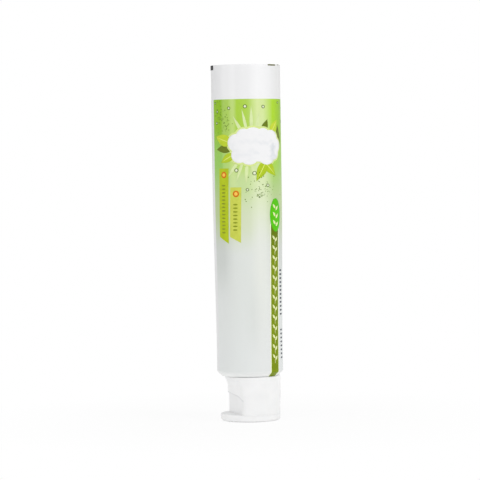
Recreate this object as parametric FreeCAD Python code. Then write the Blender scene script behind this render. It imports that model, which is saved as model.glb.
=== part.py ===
"""Toothpaste tube as it leaves the tube maker: a printed laminate sleeve, open and slightly oval at its
free end, bonded over a moulded head, with a push-on flip-top cap. It stands on its closed lid.

Millimetres, +Z up. The origin is on the tube's axis in the plane that the lid stands on. The cap's thumb
recess faces -X, and its hinge strap faces +X and turns about two lines that run along Y.
"""
import FreeCAD, Part
import math
import os
from FreeCAD import Vector

# Sleeve
TUBE_DIAMETER = 35.0
LAMINATE = 0.35
SLEEVE_LENGTH = 161.5
OPEN_END_WIDTH = 37.0        # long way across the free end, along X
WIDENING_SHARE = 0.6         # share of the length over which the circle turns into the oval
SLEEVE_SECTIONS = 7
FOLD_RADIUS = 1.0            # the sleeve's lower end is folded in over the head
FOLD_ANGLE = 46.0
FOLD_WIDTH = 2.4             # how far it reaches in from the tube's side
SEAM_WIDTH = 1.8             # overlap of the laminate's two edges, on the thumb side
SEAM_STEP = 0.12

# Head
HEAD_WALL = 1.2
HEAD_RIM = 3.0               # height that is bonded inside the sleeve above the fold
SHOULDER_DROP = 2.4
NECK_DIAMETER = 13.0
NECK_BORE = 9.7
NECK_LENGTH = 15.5
BEAD_HEIGHT = 0.4            # snap bead round the neck
BEAD_WIDTH = 1.4
BEAD_FROM_TIP = 4.0
RIB_COUNT = 4                # ribs that hold the cap's direction
RIB_WIDTH = 1.2
RIB_LENGTH = 3.0
RIB_HEIGHT = 0.7

# Cap base
CAP_DIAMETER = 32.0
CAP_HEIGHT = 20.1
CAP_WALL = 1.2
CAP_GAP = 0.12               # between the skirt's edge and the folded sleeve
SKIRT_ROUND = 0.5
PARTING_ROUND = 0.1
DECK = 1.2
ORIFICE_DIAMETER = 7.6
ORIFICE_LIP = 0.4
ORIFICE_LIP_WALL = 1.0
SEAL_LENGTH = 2.0            # how far the cap's seal ring reaches into the neck
SOCKET_WALL = 1.1
SOCKET_DEPTH = 14.5          # length of neck that the cap's socket covers
NECK_CLEARANCE = 0.1

# Thumb recess: a hollow ramp down from the skirt's edge, and an upright wall that steps in lower down
RECESS_DEPTH = 6.8           # from the skirt's round to the wall
RAMP_RADIUS = 8.4
RAMP_HEIGHT = 12.9           # the ramp meets the wall this far above the lid
RECESS_ROUND = 3.0
STEP_HEIGHT = 10.2           # the wall steps in this far above the lid
STEP_DEPTH = 0.8

# Hinge strap
HINGE_INSET = 1.7            # from the skirt's round to the flat on which both film lines lie
FLAT_ABOVE_STRAP = 2.0
STRAP_WIDTH = 13.6
STRAP_LENGTH = 6.0
STRAP_THICKNESS = 1.1
STRAP_CLEARANCE = 0.2
FILM_BEVEL = 0.25            # the strap's ends open by this on the inside

# Lid
LID_HEIGHT = 3.6
LID_SETBACK = 0.1
LID_PLATE = 1.8
LID_RIM = 1.2
LID_ROUND = 1.3
LIP_OVERLAP = 0.5            # the thumb lip runs this far in past the recess's wall
PLUG_REACH = 1.4             # how far the plug enters the orifice
PLUG_WALL = 1.4
PLUG_CLEARANCE = 0.1
PLUG_TAPER = 0.9
PLUG_TIP = 1.2               # length of the tapered tip
MARK_DIAMETER = 2.2          # ejector marks on the lid's inner face
MARK_DEPTH = 0.25
MARK_RADIUS = 8.8
MARK_ANGLES = (-20.0, 75.0, 150.0)

# Radii that follow from the diameters
tube_radius = TUBE_DIAMETER / 2
cap_radius = CAP_DIAMETER / 2
lid_radius = cap_radius - LID_SETBACK
neck_radius = NECK_DIAMETER / 2
bore_radius = NECK_BORE / 2
orifice_radius = ORIFICE_DIAMETER / 2
plug_radius = orifice_radius - PLUG_CLEARANCE
seal_radius = bore_radius - NECK_CLEARANCE
socket_radius = neck_radius + NECK_CLEARANCE

# Heights above the standing plane
parting_z = LID_HEIGHT
deck_top_z = parting_z + DECK
skirt_z = parting_z + CAP_HEIGHT
fold_end_z = skirt_z + CAP_GAP
strap_root_z = parting_z + STRAP_LENGTH
ramp_foot_z = parting_z + RAMP_HEIGHT
wall_x = -(cap_radius - RECESS_DEPTH)
step_z = parting_z + STEP_HEIGHT
step_x = wall_x + STEP_DEPTH
hinge_x = cap_radius - HINGE_INSET
far = 2 * TUBE_DIAMETER

# The fold: a small round at the tube's side, then a straight cone down to the fold's end
fold_turn = math.radians(FOLD_ANGLE)
fold_centre_r = tube_radius - FOLD_RADIUS
fold_end_r = tube_radius - FOLD_WIDTH
cone_run = fold_centre_r + FOLD_RADIUS * math.cos(fold_turn) - fold_end_r
fold_centre_z = fold_end_z + cone_run / math.tan(fold_turn) + FOLD_RADIUS * math.sin(fold_turn)
rim_top_z = fold_centre_z + HEAD_RIM
sleeve_top_z = fold_centre_z + SLEEVE_LENGTH

# The head's shoulder leaves the inside of the sleeve here
shoulder_r = fold_end_r - LAMINATE * math.cos(fold_turn)
shoulder_z = fold_end_z + LAMINATE * math.sin(fold_turn)
neck_root_z = shoulder_z - SHOULDER_DROP
neck_tip_z = neck_root_z - NECK_LENGTH


def outline(plane, steps):
    """Closed face in the XZ plane. A step is a corner (x, z), or a pair (middle, end) for an arc."""
    def place(point):
        return plane(*point)
    edges = []
    here = place(steps[0])
    for step in steps[1:] + [steps[0]]:
        if isinstance(step[0], tuple):
            middle, end = place(step[0]), place(step[1])
            edges.append(Part.Arc(here, middle, end).toShape())
        else:
            end = place(step)
            if end.distanceToPoint(here) < 1e-7:
                continue
            edges.append(Part.LineSegment(here, end).toShape())
        here = end
    return Part.Face(Part.Wire(edges))


def turned(steps):
    """Solid of revolution about Z from (radius, z) steps."""
    face = outline(lambda r, z: Vector(r, 0, z), steps)
    return face.revolve(Vector(0, 0, 0), Vector(0, 0, 1), 360)


def ring(inner, outer, low, high):
    """Straight round wall between two radii and two heights."""
    return turned([(inner, low), (outer, low), (outer, high), (inner, high)])


def disc(radius, low, high):
    return Part.makeCylinder(radius, high - low, Vector(0, 0, low))


def bar(steps, half_width):
    """Prism along Y from an outline of (x, z) steps."""
    face = outline(lambda x, z: Vector(x, -half_width, z), steps)
    return face.extrude(Vector(0, 2 * half_width, 0))


def block(low_x, high_x, half_width, low_z, high_z):
    return Part.makeBox(high_x - low_x, 2 * half_width, high_z - low_z,
                        Vector(low_x, -half_width, low_z))


def arc_point(centre_x, centre_z, radius, degrees):
    angle = math.radians(degrees)
    return centre_x + radius * math.cos(angle), centre_z + radius * math.sin(angle)


def oval(half_width, half_depth, z):
    if half_width - half_depth < 1e-6:
        edge = Part.Circle(Vector(0, 0, z), Vector(0, 0, 1), half_width).toShape()
    else:
        edge = Part.Ellipse(Vector(0, 0, z), half_width, half_depth).toShape()
    return Part.Wire([edge])


def sleeve_body(offset):
    """Solid inside the sleeve's surface: round over the head, then opening into an oval of equal girth."""
    spread = OPEN_END_WIDTH / 2 - tube_radius
    wires = []
    for index in range(SLEEVE_SECTIONS):
        share = index / (SLEEVE_SECTIONS - 1)
        rise = min(1.0, share / WIDENING_SHARE)
        half_width = tube_radius + spread * rise * rise * (3 - 2 * rise)
        half_depth = math.sqrt(2 * tube_radius ** 2 - half_width ** 2)
        z = rim_top_z + share * (sleeve_top_z - rim_top_z)
        wires.append(oval(half_width + offset, half_depth + offset, z))
    round_part = disc(tube_radius + offset, fold_centre_z, rim_top_z)
    return round_part.fuse(Part.makeLoft(wires, True, True))


def tube_sleeve():
    outside = sleeve_body(0)
    wall = outside.cut(sleeve_body(-LAMINATE))
    under_fold = FOLD_RADIUS - LAMINATE
    fold = turned([
        (tube_radius, fold_centre_z),
        (arc_point(fold_centre_r, fold_centre_z, FOLD_RADIUS, -FOLD_ANGLE / 2),
         arc_point(fold_centre_r, fold_centre_z, FOLD_RADIUS, -FOLD_ANGLE)),
        (fold_end_r, fold_end_z),
        (shoulder_r, shoulder_z),
        arc_point(fold_centre_r, fold_centre_z, under_fold, -FOLD_ANGLE),
        (arc_point(fold_centre_r, fold_centre_z, under_fold, -FOLD_ANGLE / 2),
         (tube_radius - LAMINATE, fold_centre_z)),
    ])
    seam = sleeve_body(SEAM_STEP).cut(outside)
    seam = seam.common(block(-far, 0, SEAM_WIDTH / 2, fold_centre_z, sleeve_top_z))
    return wall.fuse([fold, seam])


def tube_head():
    rim_radius = tube_radius - LAMINATE
    under_fold = FOLD_RADIUS - LAMINATE
    head = turned([
        (rim_radius, rim_top_z),
        (rim_radius, fold_centre_z),
        (arc_point(fold_centre_r, fold_centre_z, under_fold, -FOLD_ANGLE / 2),
         arc_point(fold_centre_r, fold_centre_z, under_fold, -FOLD_ANGLE)),
        (shoulder_r, shoulder_z),
        (neck_radius, neck_root_z),
        (neck_radius, neck_tip_z),
        (bore_radius, neck_tip_z),
        (bore_radius, neck_root_z + HEAD_WALL),
        (shoulder_r - HEAD_WALL, shoulder_z + HEAD_WALL),
        (rim_radius - HEAD_WALL, fold_centre_z),
        (rim_radius - HEAD_WALL / 2, rim_top_z),
    ])
    bead_z = neck_tip_z + BEAD_FROM_TIP
    inside = (neck_radius + bore_radius) / 2
    bead = turned([
        (inside, bead_z - BEAD_WIDTH / 2),
        (neck_radius, bead_z - BEAD_WIDTH / 2),
        (neck_radius + BEAD_HEIGHT, bead_z),
        (neck_radius, bead_z + BEAD_WIDTH / 2),
        (inside, bead_z + BEAD_WIDTH / 2),
    ])
    return head.fuse([bead] + ribs(0)).removeSplitter()


def ribs(clearance):
    """Ribs at the neck's root, or with a clearance the slots that they stand in."""
    length = RIB_HEIGHT + neck_radius - bore_radius - NECK_CLEARANCE
    made = []
    for index in range(RIB_COUNT):
        rib = Part.makeBox(
            length + clearance, RIB_WIDTH + 2 * clearance, RIB_LENGTH + clearance,
            Vector(neck_radius + RIB_HEIGHT - length, -RIB_WIDTH / 2 - clearance,
                   neck_root_z - RIB_LENGTH - clearance))
        turn = 360 / RIB_COUNT * (index + 0.5)
        rib.rotate(Vector(0, 0, 0), Vector(0, 0, 1), turn)
        made.append(rib)
    return made


def thumb_ramp(depth):
    """What the ramp takes away, or with a depth the same form that much nearer the axis."""
    foot_x = wall_x + depth
    radius = RAMP_RADIUS + depth
    centre_x = foot_x - radius
    middle = arc_point(centre_x, ramp_foot_z, radius, 40)
    top = arc_point(centre_x, ramp_foot_z, radius, 80)
    return bar([
        (foot_x, -far), (foot_x, ramp_foot_z), (middle, top), (centre_x, far), (-far, far), (-far, -far),
    ], far)


def rounded_sides(shape):
    """Round the upright edges of the thumb recess."""
    sides = [edge for edge in shape.Edges
             if edge.BoundBox.XMax < step_x + 0.1 and edge.BoundBox.ZLength > STEP_DEPTH]
    return shape.makeFillet(RECESS_ROUND, sides)


def hinge_seat(depth):
    """Flat on the hinge side, and the seat in it that the strap folds into."""
    flat_x = hinge_x - depth
    flat_top_z = strap_root_z + FLAT_ABOVE_STRAP + depth
    rise = HINGE_INSET + 1
    flat = bar([
        (flat_x, -far), (flat_x, flat_top_z), (flat_x + rise, flat_top_z + rise), (far, flat_top_z + rise),
        (far, -far),
    ], far)
    back_x = flat_x - STRAP_THICKNESS - STRAP_CLEARANCE
    half = STRAP_WIDTH / 2 + STRAP_CLEARANCE + depth
    return flat.fuse(block(back_x, far, half, -far, strap_root_z + depth))


def at_height(shape, z, radius):
    """Edges that lie flat at a height, no nearer the axis than a radius."""
    found = []
    for edge in shape.Edges:
        middle = edge.valueAt((edge.FirstParameter + edge.LastParameter) / 2)
        level = all(abs(v.Z - z) < 1e-6 for v in edge.Vertexes) and abs(middle.z - z) < 1e-6
        if level and math.hypot(middle.x, middle.y) > radius:
            found.append(edge)
    return found


def cap_outside():
    """The cap base's outer form, solid."""
    lower = rounded_sides(disc(cap_radius, parting_z, step_z).cut(block(-far, step_x, far, -far, far)))
    upper = rounded_sides(disc(cap_radius, step_z, skirt_z).cut(thumb_ramp(0)))
    upper = upper.makeFillet(SKIRT_ROUND, at_height(upper, skirt_z, 0))
    return upper.fuse(lower).cut(hinge_seat(0))


def cap_base():
    hollow = disc(cap_radius - CAP_WALL, deck_top_z, skirt_z + 1)
    hollow = hollow.cut(thumb_ramp(CAP_WALL + STEP_DEPTH)).cut(hinge_seat(CAP_WALL))
    under_shoulder = turned([
        (neck_radius, neck_root_z - CAP_GAP), (shoulder_r, shoulder_z - CAP_GAP),
        (far, shoulder_z - CAP_GAP), (far, far), (neck_radius, far),
    ])
    seal_top_z = neck_tip_z + SEAL_LENGTH
    socket = ring(socket_radius, socket_radius + SOCKET_WALL, parting_z, neck_tip_z + SOCKET_DEPTH)
    seal = ring(orifice_radius, seal_radius, parting_z, seal_top_z)
    stop = disc(socket_radius + SOCKET_WALL / 2, parting_z, neck_tip_z)
    lip = ring(orifice_radius, orifice_radius + ORIFICE_LIP_WALL, parting_z - ORIFICE_LIP, deck_top_z)
    neck_space = ring(seal_radius, socket_radius, neck_tip_z, skirt_z + 1)

    bead_z = neck_tip_z + BEAD_FROM_TIP
    groove_radius = neck_radius + BEAD_HEIGHT + NECK_CLEARANCE
    half_groove = BEAD_WIDTH / 2 + NECK_CLEARANCE
    groove = turned([
        (neck_radius, bead_z - half_groove), (socket_radius, bead_z - half_groove), (groove_radius, bead_z),
        (socket_radius, bead_z + half_groove), (neck_radius, bead_z + half_groove),
    ])
    bore = disc(orifice_radius, 0, skirt_z + 1)
    base = cap_outside().cut(hollow).fuse([socket, seal, stop, lip])
    base = base.cut(neck_space).cut(groove).cut(bore).cut(under_shoulder)
    for slot in ribs(NECK_CLEARANCE):
        base = base.cut(slot)
    return base.removeSplitter()


def hinge_strap():
    inner_x = hinge_x - STRAP_THICKNESS
    return bar([
        (hinge_x, parting_z), (hinge_x, strap_root_z), (inner_x, strap_root_z - FILM_BEVEL),
        (inner_x, parting_z + FILM_BEVEL),
    ], STRAP_WIDTH / 2)


def cap_lid():
    flat = block(hinge_x, far, far, -far, far)
    cup = disc(lid_radius, 0, LID_HEIGHT).cut(flat)
    cup = cup.makeFillet(LID_ROUND, at_height(cup, 0, 0))
    round_edges = [edge for edge in at_height(cup, LID_HEIGHT, 0) if edge.BoundBox.XLength > LID_RIM]
    cup = cup.makeChamfer(PARTING_ROUND, round_edges)
    inner_flat = block(hinge_x - LID_RIM, far, far, -far, far)
    hollow = disc(lid_radius - LID_RIM, LID_PLATE, LID_HEIGHT + 1).cut(inner_flat)
    pad_x = step_x + LIP_OVERLAP
    pad = block(-far, pad_x, far, 0, LID_HEIGHT)
    plug_tip_z = LID_HEIGHT + PLUG_REACH
    plug = turned([
        (plug_radius - PLUG_WALL, 0), (plug_radius, 0), (plug_radius, plug_tip_z - PLUG_TIP),
        (plug_radius - PLUG_TAPER, plug_tip_z), (plug_radius - PLUG_WALL, plug_tip_z),
    ])
    well = disc(plug_radius - PLUG_WALL, LID_PLATE, plug_tip_z + 1)
    lid = cup.cut(hollow.cut(pad)).fuse(plug).cut(well)
    for angle in MARK_ANGLES:
        x, y = arc_point(0, 0, MARK_RADIUS, angle)
        x = max(x, pad_x + MARK_DIAMETER)
        mark = Part.makeCylinder(MARK_DIAMETER / 2, LID_HEIGHT, Vector(x, y, LID_PLATE - MARK_DEPTH))
        lid = lid.cut(mark)
    return lid.removeSplitter()


PIECES = {
    "tube_sleeve": tube_sleeve,
    "tube_head": tube_head,
    "cap_base": cap_base,
    "hinge_strap": hinge_strap,
    "cap_lid": cap_lid,
}

os.makedirs("parts", exist_ok=True)
for name, make in PIECES.items():
    shape = make()
    solids = shape.Solids
    print(name, "solids", len(solids), "valid", shape.isValid(), "volume", round(shape.Volume, 1))
    if len(solids) == 1:
        shape = solids[0]
    shape.exportStep(f"parts/{name}.step")
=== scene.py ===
"""Looks of the toothpaste tube: the printed sleeve, the moulded cap, and the studio that it stands in.

Lengths are millimetres in the making functions and become metres where a mesh is made. The materials read
the object's own coordinates, which are metres. A place on the sleeve is given as (turn, z): turn is the angle
about the tube's axis in degrees, 0 at the hinge strap and 180 at the thumb recess, and the side that faces
the camera is about -106. Colours are screen values from 0 to 255, and linear() turns them into what a shader
takes.
"""
import math
import random

import bpy
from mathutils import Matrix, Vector


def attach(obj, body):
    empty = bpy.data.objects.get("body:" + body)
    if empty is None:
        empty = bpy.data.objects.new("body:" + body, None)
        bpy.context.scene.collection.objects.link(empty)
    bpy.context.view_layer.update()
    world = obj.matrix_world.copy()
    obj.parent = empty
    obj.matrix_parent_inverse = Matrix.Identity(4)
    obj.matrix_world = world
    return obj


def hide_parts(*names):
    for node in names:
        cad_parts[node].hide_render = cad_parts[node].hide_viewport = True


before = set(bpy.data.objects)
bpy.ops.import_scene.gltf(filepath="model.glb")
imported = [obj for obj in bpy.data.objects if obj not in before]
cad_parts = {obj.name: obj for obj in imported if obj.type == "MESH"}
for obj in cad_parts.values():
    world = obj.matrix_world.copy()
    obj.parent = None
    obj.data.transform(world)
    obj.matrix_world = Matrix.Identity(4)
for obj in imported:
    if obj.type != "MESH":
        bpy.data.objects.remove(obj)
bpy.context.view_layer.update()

MM = 0.001

# Sleeve, as in the solids
TUBE_RADIUS = 17.5
LAMINATE = 0.35
OPEN_HALF_WIDTH = 18.5
WIDENING_SHARE = 0.6
FOLD_RADIUS = 1.0
FOLD_ANGLE = 46.0
FOLD_END_RADIUS = 15.1
FOLD_END_Z = 23.82
FOLD_CENTRE_Z = 26.562
ROUND_TOP_Z = 29.562
OPEN_END_Z = 188.062
SEAM_WIDTH = 1.8
SEAM_STEP = 0.08

# Sleeve's mesh
SKIN_COLUMNS = 168
WALL_ROWS = 92
INNER_WALL_ROWS = 46
FOLD_ROWS = 8
INNER_FOLD_ROWS = 4
RIM_ROUND = 0.12             # rounding of the open end's outer edge
INNER_RIM_ROUND = 0.1
FOLD_LIP = 0.06              # a row this close to the folded end keeps its edge crisp
SEAM_EDGE_TURN = 0.4         # degrees in which the seam's step rises
HOLLOW_DEPTH = 0.045

# Print
PRINT_TOP_Z = 169.9
MARGIN_TURN = 6.4            # unprinted strip each side of the seam's middle
SOFT_TURN = 0.3              # half of the blur at that strip's edge
FILM_FOOT = -0.01            # a film's edge reaches this far into the sleeve
FILM_SPECULAR = 0.12
FOAM_MIDDLE = (-86, 145.4)
FOAM_EDGE = 0.9
FOAM_WHITE = (243, 243, 244)
RIB_SHARE = 0.86             # a leaf's rib against the leaf's length
RIB_WIDTH = 0.42
RIBBON_LEAN = 2.6            # degrees from the top of a ribbon to its end
RIBBON_ROWS = 24
RIBBON_COLUMNS = 12
DASH_SPACING = 1.9
BAND_TOP_Z = 104.0
BAND_TURN = -53.4            # the band's middle at its top
BAND_LEAN = 0.04             # degrees for each millimetre down the band
BAND_HALF_WIDTH = 2.85
BAND_BORDER = 0.6
BAND_COLUMNS = 8
BAND_FOLD_Z = 27.0           # from here down the band's rows are close, for the fold
BAND_FOLD_STEP = 0.095
BAND_FOLD_ROWS = 34
OVAL_MIDDLE = (-50.8, 108.8)
OVAL_SPRIG_TURN = -51.2
SPRIG_TILT = -38
SPRIG_SPACING = 5.2
OVAL_SPRIG_SPACING = 4.2
TICK_SPACING = 2.1
RING_LINE = 0.34
RING_OVERLAP = 0.04          # a ring's fill reaches this far under its line
SPECK_TOP_Z = 169.5

# Painted shadow line and shade in the thumb recess, in metres
RECESS_WALL_X = -0.0078
STEP_LINE_Z = 0.0134
STEP_LINE_SLOPE = 0.06
STEP_LINE_BEND_Y = 0.004     # beyond this the line bends down
STEP_LINE_BEND = 14.0

# Studio and camera, in metres and degrees
FLOOR_HALF = 6
FLOOR_REACH = 0.16
FLOOR_GLOW = 0.88            # share of plain white in the floor about the object
WORLD_LIGHT = 0.71
CAMERA_TURN = -106.0
CAMERA_DISTANCE = 1.2
CAMERA_HEIGHT = 0.1355
CAMERA_LEAN = 0.92
AIM_HEIGHT = 0.0956
AIM_LEFT = 0.0043
LENS = 169.6
SENSOR_WIDTH = 36
FAR_CLIP = 30


def linear(rgb):
    """Screen colour from 0 to 255 to linear."""
    return tuple(c / 255 / 12.92 if c / 255 <= 0.04045 else ((c / 255 + 0.055) / 1.055) ** 2.4 for c in rgb)


# Surfaces

def half_axes(z):
    """Half width and half depth of the sleeve, which goes from round to oval and keeps its girth."""
    share = max(0.0, (z - ROUND_TOP_Z) / (OPEN_END_Z - ROUND_TOP_Z))
    rise = min(1.0, share / WIDENING_SHARE)
    width = TUBE_RADIUS + (OPEN_HALF_WIDTH - TUBE_RADIUS) * rise * rise * (3 - 2 * rise)
    return width, math.sqrt(2 * TUBE_RADIUS ** 2 - width ** 2)


def hollow(turn, z):
    """Slight hollows that a thin sleeve has, always inward, none near its ends."""
    t = math.radians(turn)
    wave = math.sin(2 * t + 0.045 * z) * math.sin(0.031 * z + t) + 0.6 * math.sin(3 * t - 0.07 * z + 1.3)
    ends = min(1.0, max(0.0, (z - ROUND_TOP_Z) / 12)) * min(1.0, max(0.0, (OPEN_END_Z - z) / 6))
    return -HOLLOW_DEPTH * (1 + wave / 1.6) * ends


def around(radius, turn, z):
    """Point at a radius from the axis."""
    t = math.radians(turn)
    return Vector((radius * math.cos(t), radius * math.sin(t), z))


def on_sleeve(turn, z, lift=0.0):
    """Point of the sleeve's outer surface at (turn, z), lifted off it."""
    if z < FOLD_CENTRE_Z:
        fold_turn = math.radians(FOLD_ANGLE)
        drop = (FOLD_CENTRE_Z - z) / FOLD_RADIUS
        radius = FOLD_END_RADIUS + (z - FOLD_END_Z) * math.tan(fold_turn)
        tilt = fold_turn
        if drop < math.sin(fold_turn):
            tilt = math.asin(drop)
            radius = TUBE_RADIUS - FOLD_RADIUS * (1 - math.cos(tilt))
        return around(radius + lift * math.cos(tilt), turn, z - lift * math.sin(tilt))
    t = math.radians(turn)
    width, depth = half_axes(z)
    normal = Vector((depth * math.cos(t), width * math.sin(t), 0)).normalized()
    return Vector((width * math.cos(t), depth * math.sin(t), z)) + normal * (lift + hollow(turn, z))


def net(start, rows, wide, round_rows=False, round_columns=False):
    """Faces between rows of points, each row wide points long, numbered from start on."""
    faces = []
    for row in range(rows if round_rows else rows - 1):
        low = start + row * wide
        high = start + (row + 1) % rows * wide
        for column in range(wide if round_columns else wide - 1):
            beside = (column + 1) % wide
            faces.append((low + column, low + beside, high + beside, high + column))
    return faces


def make(name, points, faces, material):
    """Smooth mesh object from points in millimetres."""
    mesh = bpy.data.meshes.new(name)
    mesh.from_pydata([tuple(p * MM) for p in points], [], faces)
    mesh.validate()
    mesh.polygons.foreach_set("use_smooth", [True] * len(mesh.polygons))
    obj = bpy.data.objects.new(name, mesh)
    bpy.context.scene.collection.objects.link(obj)
    mesh.materials.append(material)
    return obj


# Shader pieces

def principled(name, colour, roughness, coat=0.0, coat_roughness=0.1):
    """New material with its node tree and its shader."""
    material = bpy.data.materials.new(name)
    material.use_nodes = True
    shader = material.node_tree.nodes["Principled BSDF"]
    shader.inputs["Base Color"].default_value = (*colour, 1)
    shader.inputs["Roughness"].default_value = roughness
    shader.inputs["Coat Weight"].default_value = coat
    shader.inputs["Coat Roughness"].default_value = coat_roughness
    shader.inputs["IOR"].default_value = 1.48
    return material, material.node_tree, shader


def math_node(tree, kind, a, b=None):
    """Sum, product or other function of sockets or numbers."""
    node = tree.nodes.new("ShaderNodeMath")
    node.operation = kind
    for socket, value in zip(node.inputs, (a, b)):
        if value is None:
            continue
        if isinstance(value, (int, float)):
            socket.default_value = value
        else:
            tree.links.new(value, socket)
    return node.outputs[0]


def times(tree, a, b):
    """Product of two sockets or numbers."""
    return math_node(tree, "MULTIPLY", a, b)


def mix_colour(tree, factor, a, b):
    """From colour a at factor 0 to colour b at factor 1."""
    node = tree.nodes.new("ShaderNodeMix")
    node.data_type = "RGBA"
    for socket, value in ((node.inputs[0], factor), (node.inputs[6], a), (node.inputs[7], b)):
        if isinstance(value, tuple):
            socket.default_value = (*value, 1)
        elif isinstance(value, (int, float)):
            socket.default_value = value
        else:
            tree.links.new(value, socket)
    return node.outputs[2]


def coordinates(tree, kind="Object"):
    """The x, y and z sockets of the object's place, in metres, or of its normal."""
    split = tree.nodes.new("ShaderNodeSeparateXYZ")
    tree.links.new(tree.nodes.new("ShaderNodeTexCoord").outputs[kind], split.inputs[0])
    return split.outputs


def noise(tree, scale, detail=3.0, stretch=(1, 1, 1)):
    """Soft noise from 0 to 1 over the object's place."""
    place = tree.nodes.new("ShaderNodeTexCoord").outputs["Object"]
    spread = tree.nodes.new("ShaderNodeMapping")
    spread.inputs["Scale"].default_value = stretch
    tree.links.new(place, spread.inputs["Vector"])
    node = tree.nodes.new("ShaderNodeTexNoise")
    node.inputs["Scale"].default_value = scale
    node.inputs["Detail"].default_value = detail
    tree.links.new(spread.outputs["Vector"], node.inputs["Vector"])
    return node.outputs["Fac"]


def spread_over(tree, value, low, high, to_low, to_high):
    """Value from low to high becomes to_low to to_high, and stays there beyond."""
    node = tree.nodes.new("ShaderNodeMapRange")
    tree.links.new(value, node.inputs["Value"])
    for name, number in (("From Min", low), ("From Max", high), ("To Min", to_low), ("To Max", to_high)):
        node.inputs[name].default_value = number
    return node.outputs["Result"]


def height_share(tree, z, start, end, most=1):
    """0 at height start in millimetres to most at height end, which may be the lower one."""
    return spread_over(tree, z, start * MM, end * MM, 0, most)


def bump(tree, shader, height, strength, distance):
    """Fine relief on a shader."""
    node = tree.nodes.new("ShaderNodeBump")
    node.inputs["Strength"].default_value = strength
    node.inputs["Distance"].default_value = distance
    tree.links.new(height, node.inputs["Height"])
    tree.links.new(node.outputs["Normal"], shader.inputs["Normal"])


def ramp(tree, value, stops, interpolation):
    """Colour along a value, from (value, linear colour) stops."""
    low, high = stops[0][0], stops[-1][0]
    node = tree.nodes.new("ShaderNodeValToRGB")
    node.color_ramp.interpolation = interpolation
    elements = node.color_ramp.elements
    while len(elements) < len(stops):
        elements.new(0.5)
    for element, (place, colour) in zip(elements, stops):
        element.position = (place - low) / (high - low)
        element.color = (*colour, 1)
    tree.links.new(spread_over(tree, value, low, high, 0, 1), node.inputs["Fac"])
    return node.outputs["Color"]


def height_ramp(tree, z, stops):
    """Colour along z, from (z in millimetres, screen colour) stops."""
    return ramp(tree, z, [(place * MM, linear(colour)) for place, colour in stops], "EASE")


def share_ramp(tree, value, stops):
    """Share from 0 to 1 along a value, from (value, share) stops."""
    return ramp(tree, value, [(place, (share, share, share)) for place, share in stops], "LINEAR")


# Materials

def printed(name, colour, roughness):
    """Laminate, or an ink on it: hardly any gloss, with a fine relief drawn out along the tube."""
    material, tree, shader = principled(name, colour, roughness, coat=0.03, coat_roughness=0.2)
    shader.inputs["Specular IOR Level"].default_value = FILM_SPECULAR
    bump(tree, shader, noise(tree, 260, stretch=(1, 1, 0.25)), 0.12, 0.00015)
    return material, tree, shader


def colour_field(tree, turn, z, glow, highlight_streak):
    """Printed field: green at the top to pale grey below, deeper at its sides with painted shade on them too,
    and lighter in the print's glow, with a painted sheen, and in a painted highlight.
    """
    field = height_ramp(tree, z, [
        (24, (228, 231, 230)), (86, (223, 227, 223)), (106, (212, 222, 190)), (127, (197, 221, 152)),
        (138, (184, 217, 90)), (160, (168, 208, 56)),
    ])
    # The sides: deeper green of the print, darkened further by painted shade; the grey lower down is painted
    # shade alone
    side_deep_and_shade = height_ramp(tree, z, [
        (24, (227, 230, 229)), (60, (225, 228, 226)), (88, (207, 211, 207)), (112, (184, 204, 148)),
        (138, (151, 203, 88)), (157, (142, 190, 8)),
    ])
    bright = height_ramp(tree, z, [
        (24, (230, 232, 231)), (90, (230, 233, 226)), (134, (219, 234, 180)), (171, (217, 234, 160)),
    ])
    field = mix_colour(tree, share_ramp(tree, turn, [(-151, 1), (-130, 0)]), field, side_deep_and_shade)
    field = mix_colour(tree, share_ramp(tree, turn, [(-95, 0), (-58, 0.75)]), field, side_deep_and_shade)
    lime = share_ramp(tree, turn, [(-82, 0), (-64, 0.6), (-50, 0.6), (-30, 0)])
    lime = times(tree, lime, height_share(tree, z, 125, 145))
    field = mix_colour(tree, lime, field, linear((186, 230, 32)))
    # Lighter across the front: the print's own glow with a painted sheen on it
    field = mix_colour(tree, glow, field, bright)
    # Painted highlight in that narrow band on the green, above 100 mm
    upper_highlight_streak = times(tree, highlight_streak, height_share(tree, z, 100, 130))
    field = mix_colour(tree, upper_highlight_streak, field, linear((212, 231, 156)))

    # Faint shade of a soft dent low on the front
    shade = share_ramp(tree, turn, [(-116, 0), (-98, 1), (-78, 0)])
    shade = times(tree, shade, height_share(tree, z, 82, 58, 0.3))
    shade = times(tree, shade, height_share(tree, z, 34, 50))
    return mix_colour(tree, shade, field, linear((207, 211, 207)))


def bare_white(tree, turn, glow, highlight_streak):
    """White laminate without print, a little greyer towards the sides of the front with painted shade, and
    lighter in painted highlights across the front.
    """
    # Painted shade: darker at the left side of the front and at the right
    left = share_ramp(tree, turn, [(-168, 0), (-148, 1)])
    white = mix_colour(tree, left, linear((229, 229, 230)), linear((238, 238, 239)))
    right = share_ramp(tree, turn, [(-60, 0), (-40, 0.7)])
    white = mix_colour(tree, right, white, linear((228, 228, 227)))
    # Painted highlights along the glow and the narrow highlight band
    white = mix_colour(tree, math_node(tree, "MAXIMUM", glow, highlight_streak), white, linear((247, 247, 248)))
    return mix_colour(tree, times(tree, noise(tree, 90), 0.3), white, linear((232, 233, 234)))


def printed_share(tree, turn, z, x, y):
    """1 on the outside, below the print's top edge and clear of the seam, and 0 elsewhere."""
    below = height_share(tree, z, PRINT_TOP_Z + 0.1, PRINT_TOP_Z - 0.1)
    from_seam = math_node(tree, "SUBTRACT", 180.0, math_node(tree, "ABSOLUTE", turn))
    beside = spread_over(tree, from_seam, MARGIN_TURN - SOFT_TURN, MARGIN_TURN + SOFT_TURN, 0, 1)
    facing = coordinates(tree, "Normal")
    outward = math_node(tree, "ADD", times(tree, x, facing[0]), times(tree, y, facing[1]))
    outside = spread_over(tree, outward, -0.001, 0.001, 0, 1)
    return times(tree, times(tree, below, beside), outside)


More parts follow.
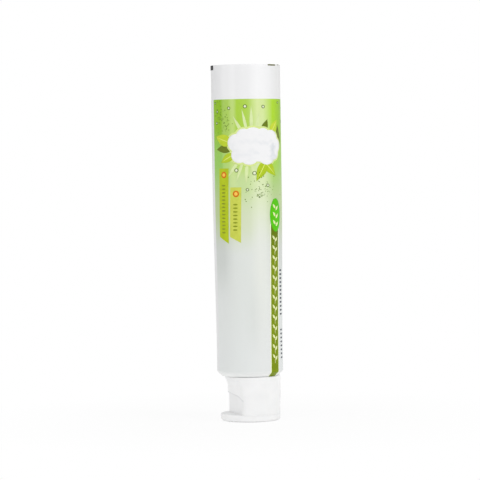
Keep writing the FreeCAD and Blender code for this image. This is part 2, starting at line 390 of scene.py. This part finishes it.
def sleeve_print():
    """White laminate that carries the printed field."""
    material, tree, shader = printed("printed_laminate", (0.8, 0.8, 0.8), 0.34)
    x, y, z = coordinates(tree)
    turn = times(tree, math_node(tree, "ARCTAN2", y, x), 180 / math.pi)
    # Share of the print's lighter glow across the middle of the front, with a painted sheen on it
    glow = share_ramp(tree, turn, [
        (-124, 0), (-112, 0.04), (-102, 0.14), (-94, 0.6), (-85, 1), (-73, 0.9), (-64, 0.5), (-52, 0),
    ])
    # Share of a painted highlight in a narrow upright band on the left of the front
    highlight_streak = share_ramp(tree, turn, [
        (-154, 0), (-149, 0.27), (-139, 0.22), (-133, 0.5), (-129, 0.5), (-123, 0),
    ])
    white = bare_white(tree, turn, glow, highlight_streak)
    field = colour_field(tree, turn, z, glow, highlight_streak)
    colour = mix_colour(tree, printed_share(tree, turn, z, x, y), white, field)

    # The folded lower end is painted lighter, against the shade that it gets from facing down, and a fine
    # mottle lies over all
    colour = mix_colour(tree, height_share(tree, z, 26.9, 25.2, 0.85), colour, linear((249, 250, 249)))
    colour = mix_colour(tree, times(tree, noise(tree, 900, 2), 0.05), colour, linear((250, 252, 246)))
    tree.links.new(colour, shader.inputs["Base Color"])
    roughness = spread_over(tree, noise(tree, 60, stretch=(1, 1, 0.2)), 0.3, 0.7, 0.3, 0.4)
    tree.links.new(roughness, shader.inputs["Roughness"])
    return material


def ink(name, colour, shift, fade=None):
    """Printed colour with slight mottling; fade is (from z, to z, colour that it has there)."""
    material, tree, shader = printed(name, linear(colour), 0.36)
    other = tuple(max(0, min(255, c + shift)) for c in colour)
    patches = spread_over(tree, noise(tree, 420), 0.35, 0.65, 0, 1)
    mottled = mix_colour(tree, patches, linear(colour), linear(other))
    if fade:
        start, end, towards = fade
        share = height_share(tree, coordinates(tree)[2], start, end)
        mottled = mix_colour(tree, share, mottled, linear(towards))
    tree.links.new(mottled, shader.inputs["Base Color"])
    return material


def foam_ink():
    """White with soft pale grey hollows, more of them towards the right."""
    material, tree, shader = printed("ink_foam", linear(FOAM_WHITE), 0.36)
    hollows = spread_over(tree, noise(tree, 130, 2, (1, 1, 1.5)), 0.5, 0.72, 0, 1)
    share = times(tree, spread_over(tree, coordinates(tree)[0], -0.002, 0.01, 0.2, 0.65), hollows)
    colour = mix_colour(tree, share, linear(FOAM_WHITE), linear((203, 210, 217)))
    tree.links.new(colour, shader.inputs["Base Color"])
    return material


def recess_shade(tree, base):
    """Painted shadow line along the step in the thumb recess, and slight painted shade on the wall below it.
    """
    x, y, z = coordinates(tree)
    past_bend = math_node(tree, "MINIMUM", math_node(tree, "ADD", y, STEP_LINE_BEND_Y), 0.0)
    fall = times(tree, math_node(tree, "POWER", past_bend, 2.0), STEP_LINE_BEND)
    line = math_node(tree, "ADD", STEP_LINE_Z, times(tree, y, STEP_LINE_SLOPE))
    above_line = math_node(tree, "SUBTRACT", z, math_node(tree, "SUBTRACT", line, fall))
    on_wall = spread_over(tree, x, RECESS_WALL_X + 0.0004, RECESS_WALL_X - 0.0004, 0, 1)
    # Painted shade on the recess wall below the step
    below = times(tree, on_wall, spread_over(tree, above_line, 0.0001, -0.0001, 0, 0.22))
    base = mix_colour(tree, below, base, linear((226, 227, 228)))
    # Painted shadow line along the step itself
    near = spread_over(tree, math_node(tree, "ABSOLUTE", above_line), 0.0007, 0.0, 0, 0.55)
    return mix_colour(tree, times(tree, on_wall, near), base, linear((205, 207, 209)))


def moulded(name, colour, roughness, grain, recess=False):
    """White moulded plastic: slightly uneven gloss, fine texture, a little light through it."""
    material, tree, shader = principled(name, linear(colour), roughness, coat=0.12, coat_roughness=0.25)
    warm = tuple(c - 5 for c in colour)
    cloud = spread_over(tree, noise(tree, 120, 4), 0.3, 0.7, 0, 1)
    base = mix_colour(tree, cloud, linear(colour), linear(warm))
    # The thumb recess gets a painted shadow line and painted shade
    if recess:
        base = recess_shade(tree, base)
    tree.links.new(base, shader.inputs["Base Color"])
    shader.inputs["Subsurface Weight"].default_value = 0.12
    shader.inputs["Subsurface Radius"].default_value = (0.0016, 0.0015, 0.0014)
    shader.inputs["Subsurface Scale"].default_value = 1.0
    uneven = spread_over(tree, noise(tree, 300), 0.3, 0.7, roughness - 0.05, roughness + 0.06)
    tree.links.new(uneven, shader.inputs["Roughness"])
    bump(tree, shader, noise(tree, grain, 4), 0.15, 0.00012)
    return material


# Sleeve

def skin_rows():
    """Rows round the sleeve's section: up the outside, over the open end and down the inside.

    A wall row is a height and a lift off the outer surface. A fold row is an angle and a radius about the
    fold's centre. A cone row is a point (radius, z) of the cone below the fold.
    """
    fold_turn = math.radians(FOLD_ANGLE)
    slope = Vector((math.sin(fold_turn), math.cos(fold_turn)))
    inward = Vector((-math.cos(fold_turn), math.sin(fold_turn)))
    fold_end = Vector((FOLD_END_RADIUS, FOLD_END_Z))
    inner_end = fold_end + LAMINATE * inward
    wall = OPEN_END_Z - RIM_ROUND - FOLD_CENTRE_Z
    inner_top = OPEN_END_Z - INNER_RIM_ROUND
    inner_wall = inner_top - FOLD_CENTRE_Z
    rows = [("cone", fold_end + along * slope, 0.0) for along in (0.0, FOLD_LIP, 1.2)]
    for step in range(FOLD_ROWS + 1):
        rows.append(("fold", -fold_turn + fold_turn * step / FOLD_ROWS, FOLD_RADIUS))
    for step in range(1, WALL_ROWS + 1):
        rows.append(("wall", FOLD_CENTRE_Z + wall * step / WALL_ROWS, 0.0))
    rows.append(("wall", OPEN_END_Z - 0.03, -0.04))
    rows.append(("wall", OPEN_END_Z, -RIM_ROUND))
    rows.append(("wall", OPEN_END_Z, -LAMINATE + RIM_ROUND))
    rows.append(("wall", inner_top, -LAMINATE))
    for step in range(1, INNER_WALL_ROWS + 1):
        rows.append(("wall", inner_top - inner_wall * step / INNER_WALL_ROWS, -LAMINATE))
    for step in range(1, INNER_FOLD_ROWS + 1):
        rows.append(("fold", -fold_turn * step / INNER_FOLD_ROWS, FOLD_RADIUS - LAMINATE))
    rows.append(("cone", inner_end + FOLD_LIP * slope, 0.0))
    rows.append(("cone", inner_end, 0.0))
    return rows


def skin_point(kind, place, lift, turn, seam_turn):
    """Point of the skin on one of the rows above; the seam stands a little proud of the outer wall."""
    if kind == "wall":
        on_seam = abs(turn) > 180 - seam_turn - 0.01 and lift > -0.2 and place > FOLD_CENTRE_Z + 0.5
        return on_sleeve(turn, place, lift + (SEAM_STEP if on_seam else 0))
    if kind == "fold":
        radius = TUBE_RADIUS - FOLD_RADIUS + lift * math.cos(place)
        return around(radius, turn, FOLD_CENTRE_Z + lift * math.sin(place))
    return around(place[0], turn, place[1])


def sleeve_skin():
    """Closed shell: outside, rounded rim at the open end, inside, and the folded lower end."""
    seam_turn = math.degrees(SEAM_WIDTH / 2 / TUBE_RADIUS)
    first = -180 + seam_turn + SEAM_EDGE_TURN
    whole = 360 - 2 * seam_turn - 2 * SEAM_EDGE_TURN
    turns = [first + whole * i / SKIN_COLUMNS for i in range(SKIN_COLUMNS + 1)]
    turns = [-180, -180 + seam_turn] + turns + [180 - seam_turn]
    rows = skin_rows()
    points = [skin_point(*row, turn, seam_turn) for row in rows for turn in turns]
    faces = net(0, len(rows), len(turns), round_rows=True, round_columns=True)
    return make("sleeve_skin", points, faces, sleeve_print())


# Outlines of printed shapes, as lists of (turn, z)

def to_turn(mm):
    """Degrees about the axis for a length along the surface."""
    return math.degrees(mm / TUBE_RADIUS)


def place_at(centre, across, up, tilt=0.0):
    """(turn, z) at a distance in millimetres from a centre, turned by tilt in degrees."""
    t = math.radians(tilt)
    x = across * math.cos(t) - up * math.sin(t)
    y = across * math.sin(t) + up * math.cos(t)
    return centre[0] + to_turn(x), centre[1] + y


def oval_outline(centre, across, up, count):
    """Oval of half width across and half height up."""
    outline = []
    for i in range(count):
        angle = 2 * math.pi * i / count
        outline.append(place_at(centre, across * math.cos(angle), up * math.sin(angle)))
    return outline


def leaf_outline(centre, length, width, tilt, count):
    """Leaf that is pointed at both ends and fullest a little below its middle."""
    outline = []
    for i in range(count):
        share = i / count * 2
        side = 1 if share < 1 else -1
        along = share if share < 1 else 2 - share
        swell = math.sin(math.pi * along ** 0.85) ** 1.15
        outline.append(place_at(centre, side * width / 2 * swell, (along - 0.5) * length, tilt))
    return outline


def cloud_outline(centre, discs, extra, count=150):
    """Outline of overlapping (turn, z, radius) discs, all of them in sight of the centre."""
    outline = []
    for i in range(count):
        angle = 2 * math.pi * i / count
        reach = 0.5
        for turn, z, radius in discs:
            across = math.radians(turn - centre[0]) * TUBE_RADIUS
            up = z - centre[1]
            along = across * math.cos(angle) + up * math.sin(angle)
            inside = along ** 2 - across ** 2 - up ** 2 + (radius + extra) ** 2
            if inside > 0:
                reach = max(reach, along + math.sqrt(inside))
        outline.append(place_at(centre, reach * math.cos(angle), reach * math.sin(angle)))
    return outline


def patch(left, right, top, height, columns, rows):
    """Rows of an upright patch between two turns."""
    return [[(left + (right - left) * c / columns, top - height * r / rows) for c in range(columns + 1)]
            for r in range(rows + 1)]


def ribbon_rows(left, right, top, low_left, low_right):
    """Rows down a ribbon, which leans a little and ends in a slant."""
    rows = []
    for step in range(RIBBON_ROWS + 1):
        down = step / RIBBON_ROWS
        row = []
        for c in range(RIBBON_COLUMNS + 1):
            across = c / RIBBON_COLUMNS
            low = low_left + (low_right - low_left) * across
            row.append((left + (right - left) * across - RIBBON_LEAN * down, top + (low - top) * down))
        rows.append(row)
    return rows


def band_middle(z):
    """Turn of the band's middle at a height."""
    return BAND_TURN - BAND_LEAN * (BAND_TOP_Z - z)


def band_rows(half_width):
    """Rows down the band, one for each millimetre and then close together round the fold."""
    heights = [BAND_TOP_Z - step for step in range(round(BAND_TOP_Z - BAND_FOLD_Z))]
    heights += [BAND_FOLD_Z - BAND_FOLD_STEP * step for step in range(BAND_FOLD_ROWS)]
    across = [half_width * (2 * c / BAND_COLUMNS - 1) for c in range(BAND_COLUMNS + 1)]
    return [[(band_middle(z) + to_turn(place), z) for place in across] for z in heights]


# Printed shapes: thin films on the sleeve

class Film:
    """Printed shapes of one ink, gathered in one mesh; where films cross, the one with more lift shows."""

    def __init__(self, lift):
        self.lift = lift
        self.points = []
        self.faces = []

    def grid(self, rows):
        """Open sheet through rows of (turn, z) places."""
        start = len(self.points)
        for row in rows:
            self.points += [on_sleeve(turn, z, self.lift) for turn, z in row]
        self.faces += net(start, len(rows), len(rows[0]))

    def star(self, centre, outline, rings):
        """Shape seen whole from its centre, with its edge carried down to the sleeve."""
        start = len(self.points)
        wide = len(outline)
        self.points.append(on_sleeve(*centre, self.lift))
        for ring in range(1, rings + 1):
            share = ring / rings
            for turn, z in outline:
                place = (centre[0] + (turn - centre[0]) * share, centre[1] + (z - centre[1]) * share)
                self.points.append(on_sleeve(*place, self.lift))
        self.points += [on_sleeve(turn, z, FILM_FOOT) for turn, z in outline]
        for c in range(wide):
            beside = (c + 1) % wide
            self.faces.append((start, start + 1 + c, start + 1 + beside))
            for ring in range(rings):
                low = start + 1 + ring * wide
                high = low + wide
                self.faces.append((low + c, high + c, high + beside, low + beside))

    def oval(self, centre, across, up, rings, count=32):
        """Oval of half width across and half height up."""
        self.star(centre, oval_outline(centre, across, up, count), rings)

    def leaf(self, centre, length, width, tilt, rings, count=28):
        """Leaf whose tip points up, turned by tilt in degrees."""
        self.star(centre, leaf_outline(centre, length, width, tilt, count), rings)

    def ring(self, centre, radius, line, count=20):
        """Thin printed circle."""
        start = len(self.points)
        inner = radius - line
        for r, lift in ((inner, FILM_FOOT), (inner, self.lift), (radius, self.lift), (radius, FILM_FOOT)):
            self.points += [on_sleeve(turn, z, lift) for turn, z in oval_outline(centre, r, r, count)]
        self.faces += net(start, 4, count, round_columns=True)

    def obj(self, name, material):
        """The film as an object that rides with the tube."""
        obj = make(name, self.points, self.faces, material)
        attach(obj, "tube")


def print_foam():
    """White cloud with a pale edge, and pale splashes behind it."""
    discs = (
        (-122, 147.0, 4.6), (-117, 140.6, 4.2), (-109, 150.6, 3.8), (-100, 140.2, 4.8), (-93, 149.4, 5.6),
        (-84, 141.2, 4.2), (-76, 150.8, 3.8), (-69, 140.8, 5.4), (-61, 148.6, 5.0), (-53, 141.6, 3.6),
        (-47, 145.4, 3.6),
    )
    splashes, edge, foam = Film(lift=0.025), Film(lift=0.03), Film(lift=0.06)
    for turn, z, length, width, tilt in (
            (-117, 155.5, 13, 1.7, 28), (-107, 158.0, 14, 1.5, 12), (-96, 159.0, 15, 1.7, 0),
            (-86, 157.0, 13, 1.5, -12), (-127, 133.5, 12, 1.7, 144), (-116, 132.5, 13, 1.5, 162),
            (-105, 131.5, 13, 1.7, 176), (-94, 132.0, 12, 1.5, -170)):
        splashes.leaf((turn, z), length, width, tilt, rings=4)
    edge.star(FOAM_MIDDLE, cloud_outline(FOAM_MIDDLE, discs, extra=FOAM_EDGE), rings=20)
    foam.star(FOAM_MIDDLE, cloud_outline(FOAM_MIDDLE, discs, extra=0.0), rings=20)
    splashes.obj("print_splashes", ink("ink_splash", (222, 238, 176), -8))
    edge.obj("print_foam_edge", ink("ink_pale", (216, 232, 146), 8))
    foam.obj("print_foam", foam_ink())


def print_leaves():
    """Leaves that point out of the foam, some of them dark and plain, the others with a rib."""
    leaves, shades, ribs = Film(lift=0.04), Film(lift=0.02), Film(lift=0.055)
    for turn, z, length, width, tilt in (
            (-146, 148.5, 13, 6.2, 72), (-138, 139.0, 10, 4.4, 118), (-79, 132.5, 13, 5.4, 152),
            (-63, 133.5, 12, 5.2, -134), (-53, 155.0, 10, 4.6, -36)):
        leaves.leaf((turn, z), length, width, tilt, rings=5)
        ribs.leaf((turn, z), length * RIB_SHARE, RIB_WIDTH, tilt, rings=3)
    for turn, z, length, width, tilt in (
            (-144, 144.0, 12, 4.6, 94), (-40, 149.0, 15, 5.4, 4), (-72, 155.5, 8, 3.6, -22)):
        shades.leaf((turn, z), length, width, tilt, rings=5)
    shades.obj("print_leaf_shades", ink("ink_leaf_shade", (104, 120, 26), 10))
    leaves.obj("print_leaves", ink("ink_leaf", (178, 206, 34), -14, fade=(124, 166, (206, 222, 66))))
    ribs.obj("print_leaf_ribs", ink("ink_rib", (226, 236, 120), 6))


def print_ribbons():
    """Two ribbons with slanted ends, each with a plain dot near its top and a row of dashes."""
    rims, dots, dashes = Film(lift=0.05), Film(lift=0.07), Film(lift=0.05)
    for name, left, right, top, low_left, low_right, colour in (
            ("first", -156.5, -136.0, 133.7, 97.8, 94.2, (184, 202, 34)),
            ("second", -133.4, -114.0, 123.7, 97.8, 94.6, (208, 216, 90))):
        ribbon = Film(lift=0.03)
        ribbon.grid(ribbon_rows(left, right, top, low_left, low_right))
        ribbon.obj(f"print_{name}_ribbon", ink(f"ink_{name}_ribbon", colour, -8))
        middle = (left + right) / 2
        dot = (middle + 0.2, top - 3.4)
        rims.oval(dot, across=1.7, up=1.7, rings=2)
        dots.oval(dot, across=0.95, up=0.95, rings=2)
        z = top - 9.0
        while z > low_right + 5:
            dash = (middle - RIBBON_LEAN * (top - z) / (top - low_left), z)
            dashes.oval(dash, across=1.25, up=0.42, rings=1, count=12)
            z -= DASH_SPACING
    rims.obj("print_dot_rims", ink("ink_orange", (224, 122, 20), -12))
    dots.obj("print_dots", ink("ink_amber", (250, 198, 84), 6))
    dashes.obj("print_dashes", ink("ink_dash", (140, 152, 30), 8))


def print_band():
    """Green oval and the olive band with a pale border that hangs from it."""
    oval, border, band = Film(lift=0.06), Film(lift=0.02), Film(lift=0.04)
    oval.oval(OVAL_MIDDLE, across=4.2, up=8.8, rings=8, count=44)
    oval.obj("print_oval", ink("ink_bright_green", (84, 194, 0), 8))
    border.grid(band_rows(BAND_HALF_WIDTH + BAND_BORDER))
    band.grid(band_rows(BAND_HALF_WIDTH))
    border.obj("print_band_border", ink("ink_border", (247, 251, 216), 4))
    band.obj("print_band", ink("ink_olive", (122, 142, 0), 8, fade=(84, 104, (94, 114, 0))))


def print_sprigs():
    """Sprigs of small white leaves down the band, with stems, and in the oval."""
    sprigs = Film(lift=0.07)
    for step in range(13):
        z = 96.5 - step * SPRIG_SPACING
        middle = band_middle(z)
        for side in (-1, 1):
            place = (middle + side * to_turn(0.95), z - 0.5 * side)
            sprigs.leaf(place, length=3.0, width=1.3, tilt=side * SPRIG_TILT, rings=2, count=16)
        sprigs.oval((middle, z - 2.2), across=0.16, up=1.3, rings=1, count=12)
    for step in range(3):
        z = 113.0 - step * OVAL_SPRIG_SPACING
        for side in (-1, 1):
            place = (OVAL_SPRIG_TURN + side * to_turn(1.1), z - 0.5 * side)
            sprigs.leaf(place, length=3.2, width=1.3, tilt=side * SPRIG_TILT, rings=2, count=16)
    sprigs.obj("print_sprigs", ink("ink_sprig", (238, 244, 182), -4))


def print_ticks():
    """Two columns of ticks beside the band, with room for three ticks between them."""
    ticks = Film(lift=0.05)
    for step in range(23):
        if 12 <= step <= 14:
            continue
        place = (-35.5 + 3.5 * step / 22, 79.5 - TICK_SPACING * step)
        ticks.oval(place, across=1.5, up=0.52, rings=2, count=12)
    ticks.obj("print_ticks", ink("ink_slate", (70, 74, 84), 8))


def print_bubbles():
    """Thin rings filled with a pale colour, and specks about them."""
    rings, fill = Film(lift=0.06), Film(lift=0.055)
    for turn, z, radius in (
            (-134, 165.2, 0.85), (-106, 166.0, 1.0), (-75, 165.8, 0.9), (-160, 163.5, 0.7),
            (-166, 168.0, 0.6), (-162, 157.5, 0.75), (-122, 132.6, 1.05), (-92, 131.0, 1.1),
            (-68, 124.5, 0.9), (-104, 122.4, 0.8), (-84, 118.5, 0.5), (-40, 168.0, 0.6), (-20, 158.0, 0.8),
            (10, 163.0, 0.7), (35, 151.0, 0.9), (70, 160.0, 0.6), (98, 148.0, 0.9), (130, 161.0, 0.7),
            (152, 139.0, 0.8)):
        rings.ring((turn, z), radius, RING_LINE)
        inner = radius - RING_LINE + RING_OVERLAP
        fill.oval((turn, z), inner, inner, rings=2, count=16)
    rings.obj("print_rings", ink("ink_ring", (80, 106, 32), 10))
    fill.obj("print_ring_fill", ink("ink_ring_fill", (236, 244, 212), -6))
    draw = random.Random(5)
    specks = Film(lift=0.05)
    for middle_turn, middle_z, spread_turn, spread_z, number in (
            (-157, 161.0, 11, 7.0, 44), (-140, 158.0, 10, 5.0, 26), (-79, 121.5, 25, 8.5, 72),
            (20, 155.0, 40, 12.0, 40), (120, 150.0, 38, 14.0, 40)):
        for _ in range(number):
            turn = middle_turn + draw.gauss(0, 0.5) * spread_turn
            z = min(SPECK_TOP_Z, middle_z + draw.gauss(0, 0.5) * spread_z)
            if abs(turn) > 180 - MARGIN_TURN - 1:
                continue
            size = draw.uniform(0.13, 0.31)
            specks.oval((turn, z), size, size, rings=1, count=8)
    specks.obj("print_specks", ink("ink_speck", (104, 134, 44), 12))


def print_filling_marks():
    """Dark marks at the open end, for the filling machine."""
    mark, bar = Film(lift=0.11), Film(lift=0.03)
    mark.grid(patch(188, 154, top=187.95, height=2.4, columns=17, rows=4))
    mark.obj("print_eye_mark", ink("ink_black", (8, 8, 8), 6))
    bar.grid(patch(-64.5, -46.0, top=188.0, height=0.7, columns=8, rows=1))
    bar.grid(patch(-39.5, -32.0, top=188.0, height=0.35, columns=4, rows=1))
    bar.obj("print_register_bar", ink("ink_dark_olive", (96, 98, 46), 8))


skin = sleeve_skin()
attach(skin, "tube")
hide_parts("tube_sleeve")
print_foam()
print_leaves()
print_ribbons()
print_band()
print_sprigs()
print_ticks()
print_bubbles()
print_filling_marks()


# Cap and head: the solids themselves, with their plastics

cap_white = moulded("cap_plastic", (248, 248, 248), 0.34, 500)
# The base carries the painted shadow line and shade of its thumb recess
base_white = moulded("cap_base_plastic", (248, 248, 248), 0.34, 500, recess=True)
head_white = moulded("head_plastic", (236, 236, 233), 0.45, 700)
for name, material in (("cap_base", base_white), ("hinge_strap", cap_white), ("cap_lid", cap_white),
                       ("tube_head", head_white)):
    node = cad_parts[name]
    node.data.materials.clear()
    node.data.materials.append(material)


# Studio

def studio_white():
    """Diffuse pale floor that passes into plain white away from the object."""
    material, tree, shader = principled("studio_floor", (0.93, 0.93, 0.93), 0.6)
    glow = tree.nodes.new("ShaderNodeEmission")
    glow.inputs["Color"].default_value = (1, 1, 1, 1)
    path = tree.nodes.new("ShaderNodeLightPath")
    seen = math_node(tree, "MAXIMUM", path.outputs["Is Camera Ray"], path.outputs["Is Glossy Ray"])
    length = tree.nodes.new("ShaderNodeVectorMath")
    length.operation = "LENGTH"
    tree.links.new(tree.nodes.new("ShaderNodeTexCoord").outputs["Object"], length.inputs[0])
    away = spread_over(tree, length.outputs["Value"], FLOOR_REACH * 0.3, FLOOR_REACH, FLOOR_GLOW, 1)
    blend = tree.nodes.new("ShaderNodeMixShader")
    tree.links.new(times(tree, seen, away), blend.inputs[0])
    tree.links.new(shader.outputs[0], blend.inputs[1])
    tree.links.new(glow.outputs[0], blend.inputs[2])
    tree.links.new(blend.outputs[0], tree.nodes["Material Output"].inputs["Surface"])
    return material


floor_mesh = bpy.data.meshes.new("floor")
floor_corners = [(x * FLOOR_HALF, y * FLOOR_HALF, 0) for x, y in ((-1, -1), (1, -1), (1, 1), (-1, 1))]
floor_mesh.from_pydata(floor_corners, [], [(0, 1, 2, 3)])
floor = bpy.data.objects.new("floor", floor_mesh)
bpy.context.scene.collection.objects.link(floor)
floor_mesh.materials.append(studio_white())

# World: soft light on the object, plain white where the camera sees it
world = bpy.data.worlds.new("studio")
bpy.context.scene.world = world
world.use_nodes = True
world_tree = world.node_tree
background = world_tree.nodes["Background"]
path = world_tree.nodes.new("ShaderNodeLightPath")
seen = math_node(world_tree, "MAXIMUM", path.outputs["Is Camera Ray"], path.outputs["Is Transmission Ray"])
world_tree.links.new(spread_over(world_tree, seen, 0, 1, WORLD_LIGHT, 1.0), background.inputs["Strength"])
background.inputs["Color"].default_value = (1, 1, 1, 1)


def lamp(name, place, aim, size, power):
    """Rectangular lamp that looks at a point."""
    light = bpy.data.lights.new(name, "AREA")
    light.shape = "RECTANGLE"
    light.size, light.size_y = size
    light.energy = power
    obj = bpy.data.objects.new(name, light)
    obj.location = place
    obj.rotation_euler = (Vector(aim) - Vector(place)).to_track_quat("-Z", "Y").to_euler()
    bpy.context.scene.collection.objects.link(obj)


lamp("key", place=(0.75, -0.95, 0.75), aim=(0, 0, 0.09), size=(0.7, 0.9), power=4.5)
lamp("fill", place=(-0.85, -0.65, 0.5), aim=(0, 0, 0.1), size=(0.5, 0.9), power=0.6)
lamp("top", place=(0.0, -0.1, 1.3), aim=(0, 0, 0.1), size=(0.8, 0.8), power=1.7)
lamp("strip", place=(-1.16, -0.31, 0.35), aim=(0, 0, 0.1), size=(0.08, 1.0), power=1.6)


# Camera: at the photograph's angle, a little above the tube, leaning as the photograph does

upward = Vector((0, 0, 1))
towards = Vector((math.cos(math.radians(CAMERA_TURN)), math.sin(math.radians(CAMERA_TURN)), 0))
sideways = (-towards).cross(upward).normalized()
position = towards * CAMERA_DISTANCE + upward * CAMERA_HEIGHT
aim = upward * AIM_HEIGHT - sideways * AIM_LEFT
forward = (aim - position).normalized()
right = forward.cross(upward).normalized()
up = right.cross(forward)
lean = math.radians(CAMERA_LEAN)
leaned_right = right * math.cos(lean) - up * math.sin(lean)
leaned_up = up * math.cos(lean) + right * math.sin(lean)

camera_data = bpy.data.cameras.new("camera")
camera_data.lens = LENS
camera_data.sensor_width = SENSOR_WIDTH
camera_data.clip_end = FAR_CLIP
camera = bpy.data.objects.new("camera", camera_data)
matrix = camera.matrix_world.copy()
for row in range(3):
    matrix[row][0] = leaned_right[row]
    matrix[row][1] = leaned_up[row]
    matrix[row][2] = -forward[row]
    matrix[row][3] = position[row]
camera.matrix_world = matrix
bpy.context.scene.collection.objects.link(camera)
bpy.context.scene.camera = camera
bpy.context.scene.view_settings.view_transform = "Standard"
